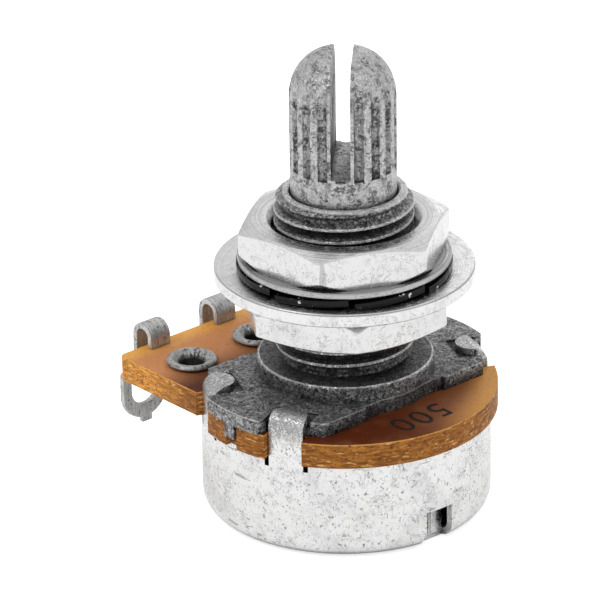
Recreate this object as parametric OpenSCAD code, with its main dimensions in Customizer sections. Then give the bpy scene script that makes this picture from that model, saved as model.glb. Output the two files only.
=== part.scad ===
// Rotary potentiometer with a threaded bushing, a split splined shaft and solder lugs.
// It stands on the back of its can, with the shaft up. X runs along the row of terminals.

/* [Can] */
// Outer diameter of the can
can_d = 16.5; // [15.5:0.1:18]
// Height of the can from its back to its rim
can_h = 5.85; // [5.4:0.05:8]
// Thickness of the can's sheet
can_wall = 0.4; // [0.3:0.05:0.5]
// Outer radius where the back turns into the side
can_bend = 0.95; // [0.6:0.05:1.4]
// Width of each folded tab
tab_w = 2.1; // [1.6:0.1:2.6]
// Angle from the X axis to each tab
tab_angle = 23.7; // [18:0.5:28]
// How far each tab reaches in over the plate
tab_reach = 1.2; // [0.8:0.1:1.6]
// Depth of the slot on each side of a tab
tab_slot_depth = 0.55; // [0.3:0.05:1]
// Width of the slot on each side of a tab
tab_slot_w = 0.28; // [0.2:0.02:0.4]
// Outer radius of each tab's fold
tab_bend = 0.85; // [0.6:0.05:1]
// Width of the window in the rim under the terminals
window_w = 13; // [12:0.2:14]
// Depth of the window in the rim
window_depth = 1.1; // [0.8:0.1:1.6]
// Width of the stop pressed into the can's edge
stop_w = 1.6; // [1.2:0.1:2.4]
// Height of the stop
stop_h = 2.2; // [1.6:0.1:2.6]
// How far the stop is pressed in
stop_in = 0.9; // [0.7:0.05:1.1]
// Direction of the stop, seen from above
stop_dir = -92; // [-100:1:-80]

/* [Board] */
// How far the board's round part stands out over the can's side
board_lip = 0.4; // [0.2:0.05:0.8]
// Thickness of the board
board_t = 1.5; // [1.2:0.1:2]
// Width of the tongue that holds the terminals
tongue_w = 14.7; // [14:0.1:16]
// How far the tongue reaches out past the can's side
tongue_reach = 3.03; // [2.6:0.01:5]
// Radius of the tongue's outer corners
tongue_corner = 0.35; // [0.1:0.05:1]
// Diameter of the hole round the shaft
board_bore_d = 6.4; // [5.6:0.1:7]
// Thickness of the printed track and of the contact ring
print_t = 0.1; // [0.05:0.01:0.15]
// Distance from the track's outer edge in to the can's wall
track_margin = 0.85; // [0.8:0.05:1]
// Width of the printed track
track_w = 1.6; // [1.2:0.1:1.8]
// Angle left open in the track at the terminals
track_open = 56; // [50:2:70]
// Middle radius of the contact ring
ring_r = 4.05; // [3.95:0.05:4.2]
// Width of the contact ring
ring_w = 1; // [0.8:0.1:1.2]

/* [Terminals] */
// Distance between neighbouring terminals
pitch = 5; // [4.6:0.1:5.2]
// Distance from the can's side in to the row of eyelets
eyelet_in = 0.65; // [0.2:0.05:0.9]
// Outer diameter of each eyelet's tube
eyelet_d = 1.8; // [1.4:0.05:2]
// Diameter of each eyelet's hole
eyelet_bore_d = 1.45; // [1:0.05:1.5]
// Diameter of each eyelet's flared head
eyelet_head_d = 2.95; // [2.4:0.05:3.2]
// Height of each eyelet's flared head
eyelet_head_h = 0.4; // [0.3:0.05:0.6]
// Sheet thickness of the terminals
lug_t = 0.35; // [0.25:0.05:0.4]
// Width of the hook over the board's edge
hook_w = 1.45; // [1.1:0.05:1.7]
// Height of the hook over the board
hook_h = 1.4; // [1.2:0.1:2]
// Width of the lug's loop
loop_w = 3.3; // [2.8:0.1:3.8]
// Width of the strip round the loop
loop_rim = 0.65; // [0.5:0.05:0.8]
// How far the loop hangs below the board's underside
loop_drop = 3.35; // [3:0.05:5]

/* [Mounting plate and bushing] */
// Width of the plate, square to the row
plate_w = 10; // [9:0.1:11]
// How far each lobe of the plate stands out over the board
lobe_lip = 0.15; // [0.05:0.05:0.4]
// Thickness of the plate
plate_t = 0.85; // [0.7:0.05:1.2]
// Width of the lobe between the tabs
lobe_w = 4.3; // [3.4:0.1:4.6]
// Depth of the seat under each tab
seat_depth = 0.15; // [0.05:0.05:0.3]
// Depth of the step in the plate's long edges
edge_step = 0.2; // [0.1:0.05:0.4]
// Wall of the boss round the recess for the clip
boss_wall = 0.76; // [0.6:0.02:1]
// Height of the boss over the plate
boss_h = 0.9; // [0.6:0.05:1.4]
// Wall of the bushing between its bore and the root of its thread
bushing_wall = 0.51; // [0.46:0.01:0.56]
// Distance between the thread's turns
thread_pitch = 0.75; // [0.5:0.05:1.25]
// Depth of the thread, shown as plain rings
thread_depth = 0.4; // [0.2:0.05:0.5]
// Length of the bushing over the boss
bushing_l = 10; // [9.6:0.1:12]
// Depth of the recess for the clip
recess_h = 1; // [1:0.05:1.1]

/* [Shaft] */
// Diameter of the shaft
shaft_d = 6; // [5.6:0.05:6.1]
// Running clearance between shaft and bushing, on the radius
shaft_clear = 0.04; // [0.02:0.01:0.08]
// Length of the plain collar over the bushing
collar_h = 1.5; // [1:0.1:3]
// Length of the splined end over the collar
spline_l = 6.75; // [6:0.05:10]
// Height of the dome at the tip
dome_h = 2.6; // [1.6:0.1:3]
// Radius of the flat at the dome's top
dome_flat = 0.8; // [0.4:0.1:1.2]
// Number of splines
spline_n = 18; // [12:1:24]
// Radius of the flute between two splines
flute_r = 0.3; // [0.2:0.02:0.34]
// Width of the slot across the tip
slot_w = 1.1; // [0.8:0.1:1.4]
// Height of the slot's floor over the collar
slot_floor = 0.15; // [0.05:0.05:1]
// Diameter of the shaft's inner end
shaft_end_d = 5; // [4.6:0.1:5.2]
// Distance across the flats of the inner end
shaft_flats = 3.9; // [3.5:0.1:4.3]
// Turn of the shaft from the middle of its travel
shaft_turn = -45; // [-150:1:150]
// Depth of the clip's groove in the shaft
groove_depth = 0.6; // [0.55:0.05:0.8]
// Thickness of the clip
clip_t = 0.5; // [0.4:0.05:0.5]
// Width of the clip's ring round its groove
clip_w = 1.6; // [1.2:0.1:1.8]
// Gap round the clip in its recess
clip_gap = 0.3; // [0.2:0.05:0.5]
// Thickness of the thrust washer
thrust_t = 0.3; // [0.2:0.05:0.3]

/* [Rotor] */
// Gap between the rotor's disc and the can's wall
rotor_gap = 0.95; // [0.7:0.05:1.1]
// Thickness of the rotor's disc
rotor_t = 1.3; // [1:0.1:1.6]
// Diameter of the rotor's hub
hub_d = 8.4; // [7.6:0.1:9]
// Gap between the rotor's hub and the can's floor
hub_gap = 0.5; // [0.3:0.05:0.8]
// Height left between the rotor and the board for the wiper
wiper_gap = 0.85; // [0.7:0.05:1]
// Total travel of the shaft in degrees
travel = 300; // [270:5:300]
// Sheet thickness of the wiper
wiper_t = 0.15; // [0.1:0.01:0.2]
// Width of each wiper arm
arm_w = 0.7; // [0.5:0.05:0.8]

/* [Nuts and washers] */
// Wall of both nuts from the thread to the flats
nut_wall = 1.45; // [1.2:0.05:2]
// Thickness of both nuts
nut_h = 2.15; // [1.8:0.05:2.5]
// Clearance between thread and nut, on the radius
nut_clear = 0.05; // [0.03:0.01:0.08]
// Height of the lower nut over the boss
nut_gap = 2.25; // [0.5:0.05:2.5]
// Turn of the lower nut
lower_nut_turn = 54.7; // [0:0.1:60]
// Turn of the upper nut
top_nut_turn = 34.5; // [0:0.1:60]
// Play of the wide washer round the thread, on the radius
wide_play = 0.9; // [0.85:0.05:1]
// Width of the wide washer's ring
wide_w = 2.55; // [2.2:0.05:3]
// Thickness of the wide washer
wide_t = 0.8; // [0.6:0.05:1]
// How far the wide washer hangs to one side
wide_off = 0.75; // [0:0.05:0.8]
// Direction in which the wide washer hangs
wide_dir = 48; // [0:1:359]
// Length of the toothed washer's teeth
tooth_l = 1.2; // [1:0.05:1.4]
// Height of the toothed washer over its twisted teeth
lock_h = 0.65; // [0.55:0.05:0.8]
// Sheet thickness of the toothed washer
lock_t = 0.4; // [0.3:0.05:0.45]
// Number of teeth
tooth_n = 8; // [7:1:12]
// Share of the pitch that each tooth fills
tooth_fill = 0.93; // [0.8:0.01:0.96]
// Width of the ring inside the teeth
lock_ring_w = 0.75; // [0.6:0.05:1]
// Turn of the toothed washer
lock_turn = 6.7; // [0:0.1:45]
// Width of the thin washer's ring
thin_w = 1.9; // [1.6:0.05:2.2]
// Thickness of the thin washer
thin_t = 0.35; // [0.25:0.05:0.5]
// Clearance between thread and the two inner washers, on the radius
washer_clear = 0.2; // [0.1:0.05:0.3]

/* [Hidden] */
$fn = 96;
// Small overrun of a cutter past the face it cuts
over = 0.1;
// Clearance of pieces that sit in or against each other without moving
fit = 0.02;
// Clearance beside each tab in the board
tab_play = 0.08;
// Clearance beside each tab on the plate, and between its fold and the plate's corner
seat_play = 0.25;
fold_play = 0.03;
// Clearance round the key nib in the board
nib_play = 0.05;
// Key nib under the plate's left lobe: height, width, length and place along the edge
nib_h = 0.85;
nib_w = 0.75;
nib_l = 0.55;
nib_y = -0.35;
// Notch in the can's edge below the stop: its top and how far it passes the stop's left side
stop_foot = 0.95;
stop_notch = 0.35;
// How far the stop's inner wall ends below the slit
stop_low = 0.45;
// Width of each print leg to an eyelet, and where the outer legs leave the track
leg_w = 1.2;
leg_turn = 6;
// Distance from the board's edge to the outer face of the hooks and loops
loop_out = 0.9;
// Radius of the arch of each hook, and inner radius of the terminals' bends
arch_r = 0.84;
sheet_bend = 0.1;
// Distance from each terminal's middle to the middle of its hook
hook_off = 0.15;
// Width of the cross strip from which the loop hangs, and its distance from the edge
cross_w = 0.6;
cross_in = 0.9;
// How much deeper the loop's rim is at the bottom, and the break-off nib under it
loop_heel = 0.22;
loop_nib_w = 0.7;
loop_nib_h = 0.3;
loop_nib_off = 0.1;
// Radius of each terminal's round pad past the eyelet's head
pad_over = 0.05;
// Rolled foot of each eyelet: its height, and how far it spreads at its end and at the pad
foot_h = 0.25;
foot_tip = 0.1;
foot_spread = 0.35;
// Dish and rim of each eyelet's head
dish = 0.05;
rim_step = 0.15;
// Axial play of the clip and of the thrust washer
end_play = 0.05;
// Part of the plate's length along which its edges step in
step_part = 0.6;
// Circle on each nut's face towards the washers, out from the flats, and its chamfer
nut_inner_out = 0.18;
nut_inner_angle = 43;
// Circle on each nut's other face, in from the flats, and its chamfer
nut_outer_in = 0.15;
nut_outer_angle = 20;
// Depth of the countersink at each end of a nut's bore
nut_lead = 0.4;
// How far the clip's ring lies in from the middle of its sheet, its teeth and their grip
clip_rim = 0.15;
clip_tooth = 1.4;
clip_lap = 0.3;
// Plain neck under the thread, plain lead over it, and how far both lie in from the crests
thread_neck = 0.75;
thread_lead = 0.68;
lead_in = 0.33;
// Chamfer of cast and turned edges
cast_edge = 0.15;
turned_edge = 0.2;
// Height of the shaft's inner end over the rotor's foot
end_in = 0.3;
// How far each flute's axis lies outside the shaft's surface
flute_out = 0.03;
// Broken edges along the slot's top
slot_lead = 0.3;
// Lug of the rotor: overlap with the stop, its depth, its height over the floor, and its play
lug_lap = 0.35;
lug_depth = 1.7;
lug_foot = 0.3;
lug_free = 0.4;
// Wiper: band past its arms, gap at the shaft, gap to the prints, root and tip of each arm
wiper_band = 0.45;
wiper_bore_gap = 0.3;
wiper_free = 0.03;
arm_root = 0.6;
arm_l = 2.2;
arm_tip = 0.5;

can_r = can_d / 2;
can_in = can_r - can_wall;
board_d = can_d + 2 * board_lip;
tongue_y = can_r + tongue_reach;
eyelet_y = can_r - eyelet_in;
plate_l = board_d + 2 * lobe_lip;
groove_d = shaft_d - 2 * groove_depth;
clip_d = groove_d + 2 * clip_w;
recess_d = clip_d + 2 * clip_gap;
boss_d = recess_d + 2 * boss_wall;
track_r = can_in - track_margin - track_w / 2;
rotor_d = 2 * (can_in - rotor_gap);
board_z = can_h;
plate_z = board_z + board_t;
plate_top = plate_z + plate_t;
boss_z = plate_top + boss_h;
bushing_z = boss_z + bushing_l;
collar_z = bushing_z + collar_h;
tip_z = collar_z + spline_l;
print_z = board_z - print_t;
rotor_top = print_z - wiper_gap + print_t;
lug_z = board_z - lug_t;
recess_z = plate_z + recess_h;
thrust_z = recess_z - end_play - thrust_t;
clip_z = thrust_z - end_play - clip_t;
shaft_r = shaft_d / 2;
thread_r = shaft_r + shaft_clear + bushing_wall + thread_depth;
washer_r = thread_r + washer_clear;
nut_af = 2 * (thread_r + nut_wall);
wide_bore_d = 2 * (thread_r + wide_play);
wide_d = wide_bore_d + 2 * wide_w;
lock_d = 2 * (washer_r + lock_ring_w + tooth_l);
thin_d = 2 * (washer_r + thin_w);
seat_z = plate_top - seat_depth;
lower_nut_z = boss_z + nut_gap;
wide_z = lower_nut_z + nut_h;
lock_z = wide_z + wide_t;
thin_z = lock_z + lock_h;
top_nut_z = thin_z + thin_t;
tab_dirs = [tab_angle, -tab_angle, 180 - tab_angle, 180 + tab_angle];

// Plan outline of one tab, square sides and a round tip
module tab_plan(w, tip) {
    translate([tip + w / 2, 0]) circle(d = w);
    translate([tip + w / 2, -w / 2]) square([can_r, w]);
}

// Section of one tab, up from the can's side and folded in over the plate
module tab_section() {
    tip = can_in - tab_reach - over;
    foot = board_z - tab_slot_depth - over;
    bend_z = seat_z + fit + can_wall - tab_bend;
    translate([can_in, foot]) square([can_wall, bend_z - foot]);
    translate([tip, seat_z + fit]) square([can_r - tab_bend - tip, can_wall]);
    translate([can_r - tab_bend, bend_z]) intersection() {
        difference() {
            circle(r = tab_bend);
            circle(r = tab_bend - can_wall);
        }
        square(tab_bend);
    }
}

module tab() {
    tip = can_in - tab_reach;
    intersection() {
        rotate([0, 0, -30]) rotate_extrude(angle = 60) tab_section();
        translate([0, 0, board_z - tab_slot_depth - over])
            linear_extrude(seat_z - board_z + 2) tab_plan(tab_w, tip);
    }
}

// Half section of the cup, with a round turn from back to side
module cup_section() {
    difference() {
        union() {
            square([can_r - can_bend, can_bend]);
            translate([0, can_bend]) square([can_r, can_h - can_bend]);
            translate([can_r - can_bend, can_bend]) intersection() {
                circle(r = can_bend);
                translate([0, -can_bend]) square(can_bend);
            }
        }
        translate([0, can_bend]) square([can_in, can_h]);
        translate([0, can_wall]) square([can_r - can_bend, can_h]);
        translate([can_r - can_bend, can_bend]) circle(r = can_bend - can_wall);
    }
}

// Stop lanced into the can's lower edge, with a longer notch below it
module stop_cut() {
    translate([can_r - stop_in, -stop_w / 2, -over]) cube([can_r, stop_w, stop_h + over]);
    translate([can_r - stop_in, -stop_w / 2 - stop_notch, -over])
        cube([can_r, stop_w / 2, stop_foot + over]);
}

// Inner wall of the stop, and the side that slopes in to it
module stop_wall() {
    wall_top = stop_h - stop_low;
    deep = can_r - stop_in;
    side = stop_w / 2;
    translate([deep - can_wall, -side, 0]) cube([can_wall, stop_w, wall_top]);
    translate([0, 0, stop_foot]) linear_extrude(stop_h - stop_foot)
        polygon([[can_in, -side - can_wall / 2], [can_r - fit, -side - can_wall / 2],
            [can_r - fit, -side], [deep, 0], [deep - can_wall / 2, 0], [can_in, -side]]);
}

module rear_cover() {
    color("silver") union() {
        difference() {
            rotate_extrude() cup_section();
            for (a = tab_dirs) rotate(a) for (side = [-1, 1])
                translate([can_in - 1, side * (tab_w + tab_slot_w) / 2 - tab_slot_w / 2,
                    can_h - tab_slot_depth]) cube([2, tab_slot_w, tab_slot_depth + over]);
            translate([-window_w / 2, 0, can_h - window_depth])
                cube([window_w, can_r + over, window_depth + over]);
            rotate(stop_dir) stop_cut();
        }
        for (a = tab_dirs) rotate(a) tab();
        rotate(stop_dir) stop_wall();
    }
}

// Plan outline of the board, a disc with a tongue for the terminals
module board_plan() {
    difference() {
        union() {
            circle(d = board_d);
            translate([-tongue_w / 2, 0]) square([tongue_w, tongue_y - tongue_corner]);
            translate([-tongue_w / 2 + tongue_corner, 0])
                square([tongue_w - 2 * tongue_corner, tongue_y]);
            for (side = [-1, 1])
                translate([side * (tongue_w / 2 - tongue_corner), tongue_y - tongue_corner])
                    circle(r = tongue_corner);
        }
        circle(d = board_bore_d);
        for (i = [-1 : 1]) translate([i * pitch, eyelet_y]) circle(d = eyelet_d + 2 * fit);
        for (a = tab_dirs) rotate(a) difference() {
            translate([can_in - tab_w, -tab_w / 2 - tab_play]) square([can_r, tab_w + 2 * tab_play]);
            circle(r = can_in - fit);
        }
        nib_plan(nib_play);
    }
}

// Plan of the nib under the plate's left lobe that keys it to the board
module nib_plan(gap = 0) {
    translate([-plate_l / 2 - 1 - gap, nib_y - gap])
        square([nib_l + 1 + 2 * gap, nib_w + 2 * gap]);
}

module resistor_board() {
    color("#b8783c") translate([0, 0, board_z]) linear_extrude(board_t) board_plan();
}

// Plan of a flat band about the shaft axis, open towards the terminals
module horseshoe(r, w, open) {
    difference() {
        circle(r = r + w / 2);
        circle(r = r - w / 2);
        rotate(90 - open / 2) sector(open, 3 * r);
    }
}

// Wedge from the shaft axis, starting on the X axis
module sector(a, r) {
    polygon([[0, 0], [r, 0], [r * cos(a / 2), r * sin(a / 2)] * 1.2, [r * cos(a), r * sin(a)]]);
}

// Printed horseshoe track with a leg to each outer eyelet
module resistive_track() {
    end_a = 90 - track_open / 2;
    color("#2b2622") translate([0, 0, print_z]) linear_extrude(print_t) difference() {
        union() {
            horseshoe(track_r, track_w, track_open);
            for (side = [-1, 1]) {
                at = [side * track_r * cos(end_a - leg_turn), track_r * sin(end_a - leg_turn)];
                to = [side * pitch, eyelet_y];
                leg = to - at;
                translate(at) rotate(atan2(leg[1], leg[0]))
                    translate([0, -leg_w / 2]) square([norm(leg), leg_w]);
            }
        }
        for (side = [-1, 1]) translate([side * pitch, eyelet_y]) circle(r = lug_pad_r() + fit);
    }
}

// Radius of the round pad of a terminal under its eyelet
function lug_pad_r() = eyelet_head_d / 2 + pad_over;

module collector_ring() {
    color("#c8c4b8") translate([0, 0, print_z]) linear_extrude(print_t) difference() {
        union() {
            circle(r = ring_r + ring_w / 2);
            translate([-leg_w / 2, 0]) square([leg_w, eyelet_y]);
        }
        circle(r = ring_r - ring_w / 2);
        translate([0, eyelet_y]) circle(r = lug_pad_r() + fit);
    }
}

// Section of the hook, out past the board's edge, up and back down onto its face
module hook_section() {
    outer = tongue_y + loop_out;
    bend = lug_t + sheet_bend;
    arch_y = outer - arch_r;
    arch_z = plate_z + hook_h - arch_r;
    translate([tongue_y - cross_in, lug_z]) square([outer - bend - tongue_y + cross_in, lug_t]);
    translate([outer - bend, lug_z + bend]) intersection() {
        difference() {
            circle(r = bend);
            circle(r = bend - lug_t);
        }
        translate([0, -bend]) square(bend);
    }
    translate([outer - lug_t, lug_z + bend]) square([lug_t, arch_z - lug_z - bend]);
    translate([arch_y, arch_z]) intersection() {
        difference() {
            circle(r = arch_r);
            circle(r = arch_r - lug_t);
        }
        translate([-arch_r, 0]) square([2 * arch_r, arch_r]);
    }
    translate([arch_y - arch_r, plate_z + fit]) square([lug_t, arch_z - plate_z - fit]);
}

// Section of the bend from the strip under the board down into the loop
module loop_bend_section() {
    bend = lug_t + sheet_bend;
    loop_y = tongue_y + loop_out;
    translate([tongue_y - cross_w, lug_z]) square([loop_y - bend - tongue_y + cross_w, lug_t]);
    translate([loop_y - bend, board_z - bend]) intersection() {
        difference() {
            circle(r = bend);
            circle(r = bend - lug_t);
        }
        square(bend);
    }
    translate([loop_y - lug_t, board_z - 2 * bend]) square([lug_t, bend]);
}

// Outline of the hanging loop with its break-off nib, seen along the row's normal
module loop_plan() {
    top = board_z - lug_t - sheet_bend;
    foot = board_z - loop_drop;
    half = loop_w / 2;
    difference() {
        union() {
            translate([-half, foot + half]) square([loop_w, top - foot - half]);
            translate([0, foot + half]) circle(r = half);
            translate([loop_nib_off - loop_nib_w / 2, foot - loop_nib_h])
                square([loop_nib_w, 2 * loop_nib_h]);
        }
        translate([0, foot + half + loop_heel]) circle(r = half - loop_rim);
        translate([-half + loop_rim, foot + half + loop_heel])
            square([loop_w - 2 * loop_rim, loop_w]);
        translate([-half, top]) square([loop_w, loop_w]);
    }
}

module terminal(x) {
    loop_y = tongue_y + loop_out;
    color("gainsboro") translate([x, 0, 0]) difference() {
        union() {
            translate([0, eyelet_y, lug_z]) cylinder(r = lug_pad_r(), h = lug_t - fit);
            translate([hook_off - hook_w / 2, eyelet_y, lug_z])
                cube([hook_w, tongue_y - eyelet_y, lug_t - fit]);
            translate([-loop_w / 2, tongue_y - cross_in, lug_z])
                cube([loop_w, cross_w, lug_t - fit]);
            translate([hook_off - hook_w / 2, 0, 0]) rotate([90, 0, 90]) linear_extrude(hook_w)
                difference() {
                    hook_section();
                    translate([0, board_z - fit]) square([tongue_y + fit, board_t + 2 * fit]);
                }
            for (side = [-1, 1])
                translate([side * (loop_w - loop_rim) / 2 - loop_rim / 2, 0, 0])
                    rotate([90, 0, 90]) linear_extrude(loop_rim) difference() {
                        loop_bend_section();
                        translate([0, board_z - fit]) square([tongue_y + fit, board_t]);
                    }
            translate([0, loop_y, 0]) rotate([90, 0, 0]) linear_extrude(lug_t) loop_plan();
        }
        translate([0, eyelet_y, lug_z - over]) cylinder(d = eyelet_d + 2 * fit, h = lug_t + 2 * over);
    }
}

module terminal_left() { terminal(-pitch); }
module terminal_middle() { terminal(0); }
module terminal_right() { terminal(pitch); }

// Tubular rivet with a flared, dished head and a rolled foot
module eyelet(x) {
    bore_r = eyelet_bore_d / 2;
    tube_r = eyelet_d / 2;
    head_r = eyelet_head_d / 2;
    top = plate_z + eyelet_head_h;
    color("lightgray") translate([x, eyelet_y, 0]) rotate_extrude()
        polygon([[bore_r, lug_z - foot_h], [tube_r + foot_tip, lug_z - foot_h],
            [tube_r + foot_spread, lug_z - fit], [tube_r, lug_z - fit], [tube_r, plate_z + fit],
            [head_r - rim_step, plate_z + fit], [head_r, plate_z + rim_step],
            [head_r - dish, top - dish], [head_r - rim_step, top],
            [head_r - rim_step - 2 * dish, top - dish], [tube_r + 2 * dish, plate_z + rim_step],
            [bore_r, plate_z + dish]]);
}

module eyelet_left() { eyelet(-pitch); }
module eyelet_middle() { eyelet(0); }
module eyelet_right() { eyelet(pitch); }

// Plan outline of the cast plate, a strip with a round lobe at each end
module plate_plan() {
    difference() {
        union() {
            intersection() {
                circle(r = can_in - 2 * fit);
                square([plate_l, plate_w], center = true);
            }
            intersection() {
                circle(d = plate_l);
                square([plate_l, lobe_w], center = true);
            }
        }
        for (side = [-1, 1]) translate([0, side * plate_w / 2])
            square([plate_w * step_part, 2 * edge_step], center = true);
    }
}

// Half section of the boss and bushing, with a ring for each turn of the thread
module bushing_section() {
    bore = shaft_r + shaft_clear;
    root = thread_r - thread_depth;
    lead_r = thread_r - lead_in;
    turns = floor((bushing_l - thread_neck - thread_lead) / thread_pitch);
    rings = [for (i = [0 : turns - 1]) for (corner = [[root, 0.1], [thread_r, 0.4],
        [thread_r, 0.6], [root, 0.9]])
        [corner[0], boss_z + thread_neck + (i + corner[1]) * thread_pitch]];
    polygon(concat([[bore, plate_z], [boss_d / 2, plate_z], [boss_d / 2, boss_z - cast_edge],
        [boss_d / 2 - cast_edge, boss_z], [lead_r, boss_z], [lead_r, boss_z + thread_neck]], rings,
        [[lead_r, bushing_z - thread_lead], [lead_r, bushing_z - cast_edge],
        [lead_r - cast_edge, bushing_z], [bore + cast_edge, bushing_z],
        [bore, bushing_z - cast_edge]]));
}

// Corner cut from the plate's edge under each tab's fold
module fold_cut() {
    low = seat_z + fit + can_wall - tab_bend;
    inner = can_r - tab_bend;
    turn = asin((tab_w / 2 + seat_play) / can_in);
    rotate(-turn) rotate_extrude(angle = 2 * turn)
        polygon([[can_in + fit, low], [can_r, low], [can_r, seat_z + over],
            [inner - fold_play - over, seat_z + over], [inner - fold_play, seat_z + fit]]);
}

module mounting_plate() {
    color("dimgray") difference() {
        union() {
            translate([0, 0, plate_z]) linear_extrude(plate_t) plate_plan();
            rotate_extrude() bushing_section();
            translate([0, 0, plate_z - nib_h]) linear_extrude(nib_h + plate_t / 2) intersection() {
                nib_plan();
                circle(d = plate_l);
            }
        }
        translate([0, 0, plate_z - over]) cylinder(r = shaft_r + shaft_clear, h = plate_t + boss_h);
        translate([0, 0, plate_z - over]) cylinder(d = recess_d, h = recess_h + over);
        for (a = tab_dirs) rotate(a) {
            translate([can_in - tab_reach - seat_play, -tab_w / 2 - seat_play, seat_z])
                cube([can_r, tab_w + 2 * seat_play, plate_t]);
            fold_cut();
        }
    }
}

// Half section of the solid shaft, from its inner end to the domed tip
module shaft_section() {
    end_r = shaft_end_d / 2;
    foot = can_wall + hub_gap + end_in;
    step_z = clip_z + clip_t + end_play;
    dome = [for (i = [0 : 14]) let(a = i * 6)
        [dome_flat + (shaft_r - dome_flat) * cos(a), tip_z - dome_h + dome_h * sin(a)]];
    polygon(concat([[0, foot], [end_r - turned_edge, foot], [end_r, foot + turned_edge],
        [end_r, clip_z - end_play], [groove_d / 2, clip_z - end_play], [groove_d / 2, step_z],
        [shaft_r, step_z]], dome, [[dome_flat, tip_z], [0, tip_z]]));
}

module shaft() {
    flat_z = rotor_top + turned_edge;
    color("gray") rotate(shaft_turn) difference() {
        rotate_extrude() shaft_section();
        for (i = [0 : spline_n - 1]) rotate((i + 0.5) * 360 / spline_n)
            translate([shaft_r + flute_out, 0, collar_z]) cylinder(r = flute_r, h = spline_l + over, $fn = 24);
        translate([-slot_w / 2, -shaft_r - over, collar_z + slot_floor])
            cube([slot_w, shaft_d + 2 * over, spline_l]);
        translate([0, shaft_r, tip_z]) rotate([90, 0, 0]) linear_extrude(shaft_d)
            polygon([[0, -slot_w / 2 - slot_lead], [slot_w / 2 + slot_lead + over, over],
                [-slot_w / 2 - slot_lead - over, over]]);
        for (side = [-1, 1]) translate([-shaft_r, side * (shaft_flats / 2 + shaft_r) - shaft_r, 0])
            cube([shaft_d, shaft_d, flat_z]);
    }
}

// Spring clip with three inner teeth and one open side
module retaining_clip() {
    grip = groove_d / 2 + fit;
    color("slategray") rotate(shaft_turn) translate([0, 0, clip_z]) linear_extrude(clip_t)
        difference() {
            circle(d = clip_d);
            circle(r = grip);
            difference() {
                circle(r = (clip_d + groove_d) / 4 - clip_rim);
                for (a = [90, 210, 330]) rotate(a) translate([0, -clip_tooth / 2])
                    square([clip_d / 2, clip_tooth]);
            }
            translate([-grip + clip_lap, -clip_d / 2 - over])
                square([2 * (grip - clip_lap), clip_d / 2 + over]);
        }
}

module thrust_washer() {
    color("gainsboro") translate([0, 0, thrust_z]) difference() {
        cylinder(d = clip_d + clip_gap, h = thrust_t);
        translate([0, 0, -over]) cylinder(r = shaft_r + 2 * shaft_clear, h = thrust_t + 2 * over);
    }
}

// Moulded rotor with a hub, a disc and a lug that meets the stop
module rotor() {
    foot = can_wall + hub_gap;
    disc_z = rotor_top - rotor_t;
    lug_r = can_r - stop_in - can_wall + lug_lap;
    stop_half = asin(stop_w / 2 / (lug_r - lug_lap));
    lug_half = 180 - travel / 2 - stop_half - lug_free;
    color("#d8d2c0") rotate(shaft_turn) difference() {
        union() {
            translate([0, 0, disc_z]) cylinder(d = rotor_d, h = rotor_t);
            translate([0, 0, foot]) cylinder(d = hub_d, h = rotor_top - foot);
            translate([0, 0, can_wall + lug_foot]) linear_extrude(rotor_top - can_wall - lug_foot)
                intersection() {
                    difference() {
                        circle(r = lug_r);
                        circle(r = lug_r - lug_depth);
                    }
                    rotate(stop_dir + 180 - lug_half) sector(2 * lug_half, 2 * lug_r);
                }
        }
        translate([0, 0, foot - over]) intersection() {
            cylinder(d = shaft_end_d + 2 * fit, h = rotor_top);
            translate([-shaft_d, -shaft_flats / 2 - fit, 0])
                cube([2 * shaft_d, shaft_flats + 2 * fit, rotor_top]);
        }
    }
}

// Side view of a sprung wiper arm, rising to a round contact point
module arm_section(rise) {
    end = arm_l + over;
    polygon([[-arm_root, 0], [arm_root / 2, 0], [arm_l - arm_tip, rise - wiper_t],
        [end, rise - 2 * wiper_t], [end, rise - wiper_t], [arm_l - arm_tip, rise],
        [arm_root / 3, wiper_t], [-arm_root, wiper_t]]);
}

// Sheet wiper that bridges the track and the contact ring
module wiper_contact() {
    rise = wiper_gap - print_t - wiper_free;
    band_x = -2.6;
    band_w = 1.7;
    color("goldenrod") rotate(shaft_turn) translate([0, 0, rotor_top]) {
        linear_extrude(wiper_t) difference() {
            union() {
                circle(r = ring_r - wiper_band);
                translate([band_x, -track_r - wiper_band]) square([band_w, track_r + wiper_band]);
            }
            circle(d = shaft_end_d + wiper_bore_gap);
        }
        for (r = [track_r, ring_r])
            translate([band_x + band_w - arm_root, -r + arm_w / 2 - over, 0])
                rotate([90, 0, 0]) linear_extrude(arm_w) arm_section(rise);
    }
}

// Hexagon nut with its washer side up, chamfered on both faces, with a countersunk bore
module nut(turn) {
    outer_r = nut_af / 2 - nut_outer_in;
    inner_r = nut_af / 2 + nut_inner_out;
    reach = nut_af / sqrt(3) + over;
    outer_drop = (reach - outer_r) * tan(nut_outer_angle);
    inner_drop = (reach - inner_r) * tan(nut_inner_angle);
    bore = thread_r + nut_clear;
    intersection() {
        rotate(turn) cylinder(r = nut_af / sqrt(3), h = nut_h, $fn = 6);
        rotate_extrude() polygon([[bore + nut_lead, 0], [outer_r, 0], [reach, outer_drop],
            [reach, nut_h - inner_drop], [inner_r, nut_h], [bore + nut_lead, nut_h],
            [bore, nut_h - nut_lead], [bore, nut_lead]]);
    }
}

// Flat washer with lightly broken edges
module washer(outer_d, bore_d, t) {
    edge = t / 5;
    rotate_extrude() polygon([[bore_d / 2, 0], [outer_d / 2 - edge, 0], [outer_d / 2, edge],
        [outer_d / 2, t - edge], [outer_d / 2 - edge, t], [bore_d / 2, t]]);
}

module lower_nut() {
    color("silver") translate([0, 0, lower_nut_z]) nut(lower_nut_turn);
}

module top_nut() {
    color("silver") translate([0, 0, top_nut_z + nut_h]) mirror([0, 0, 1]) nut(top_nut_turn);
}

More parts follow.
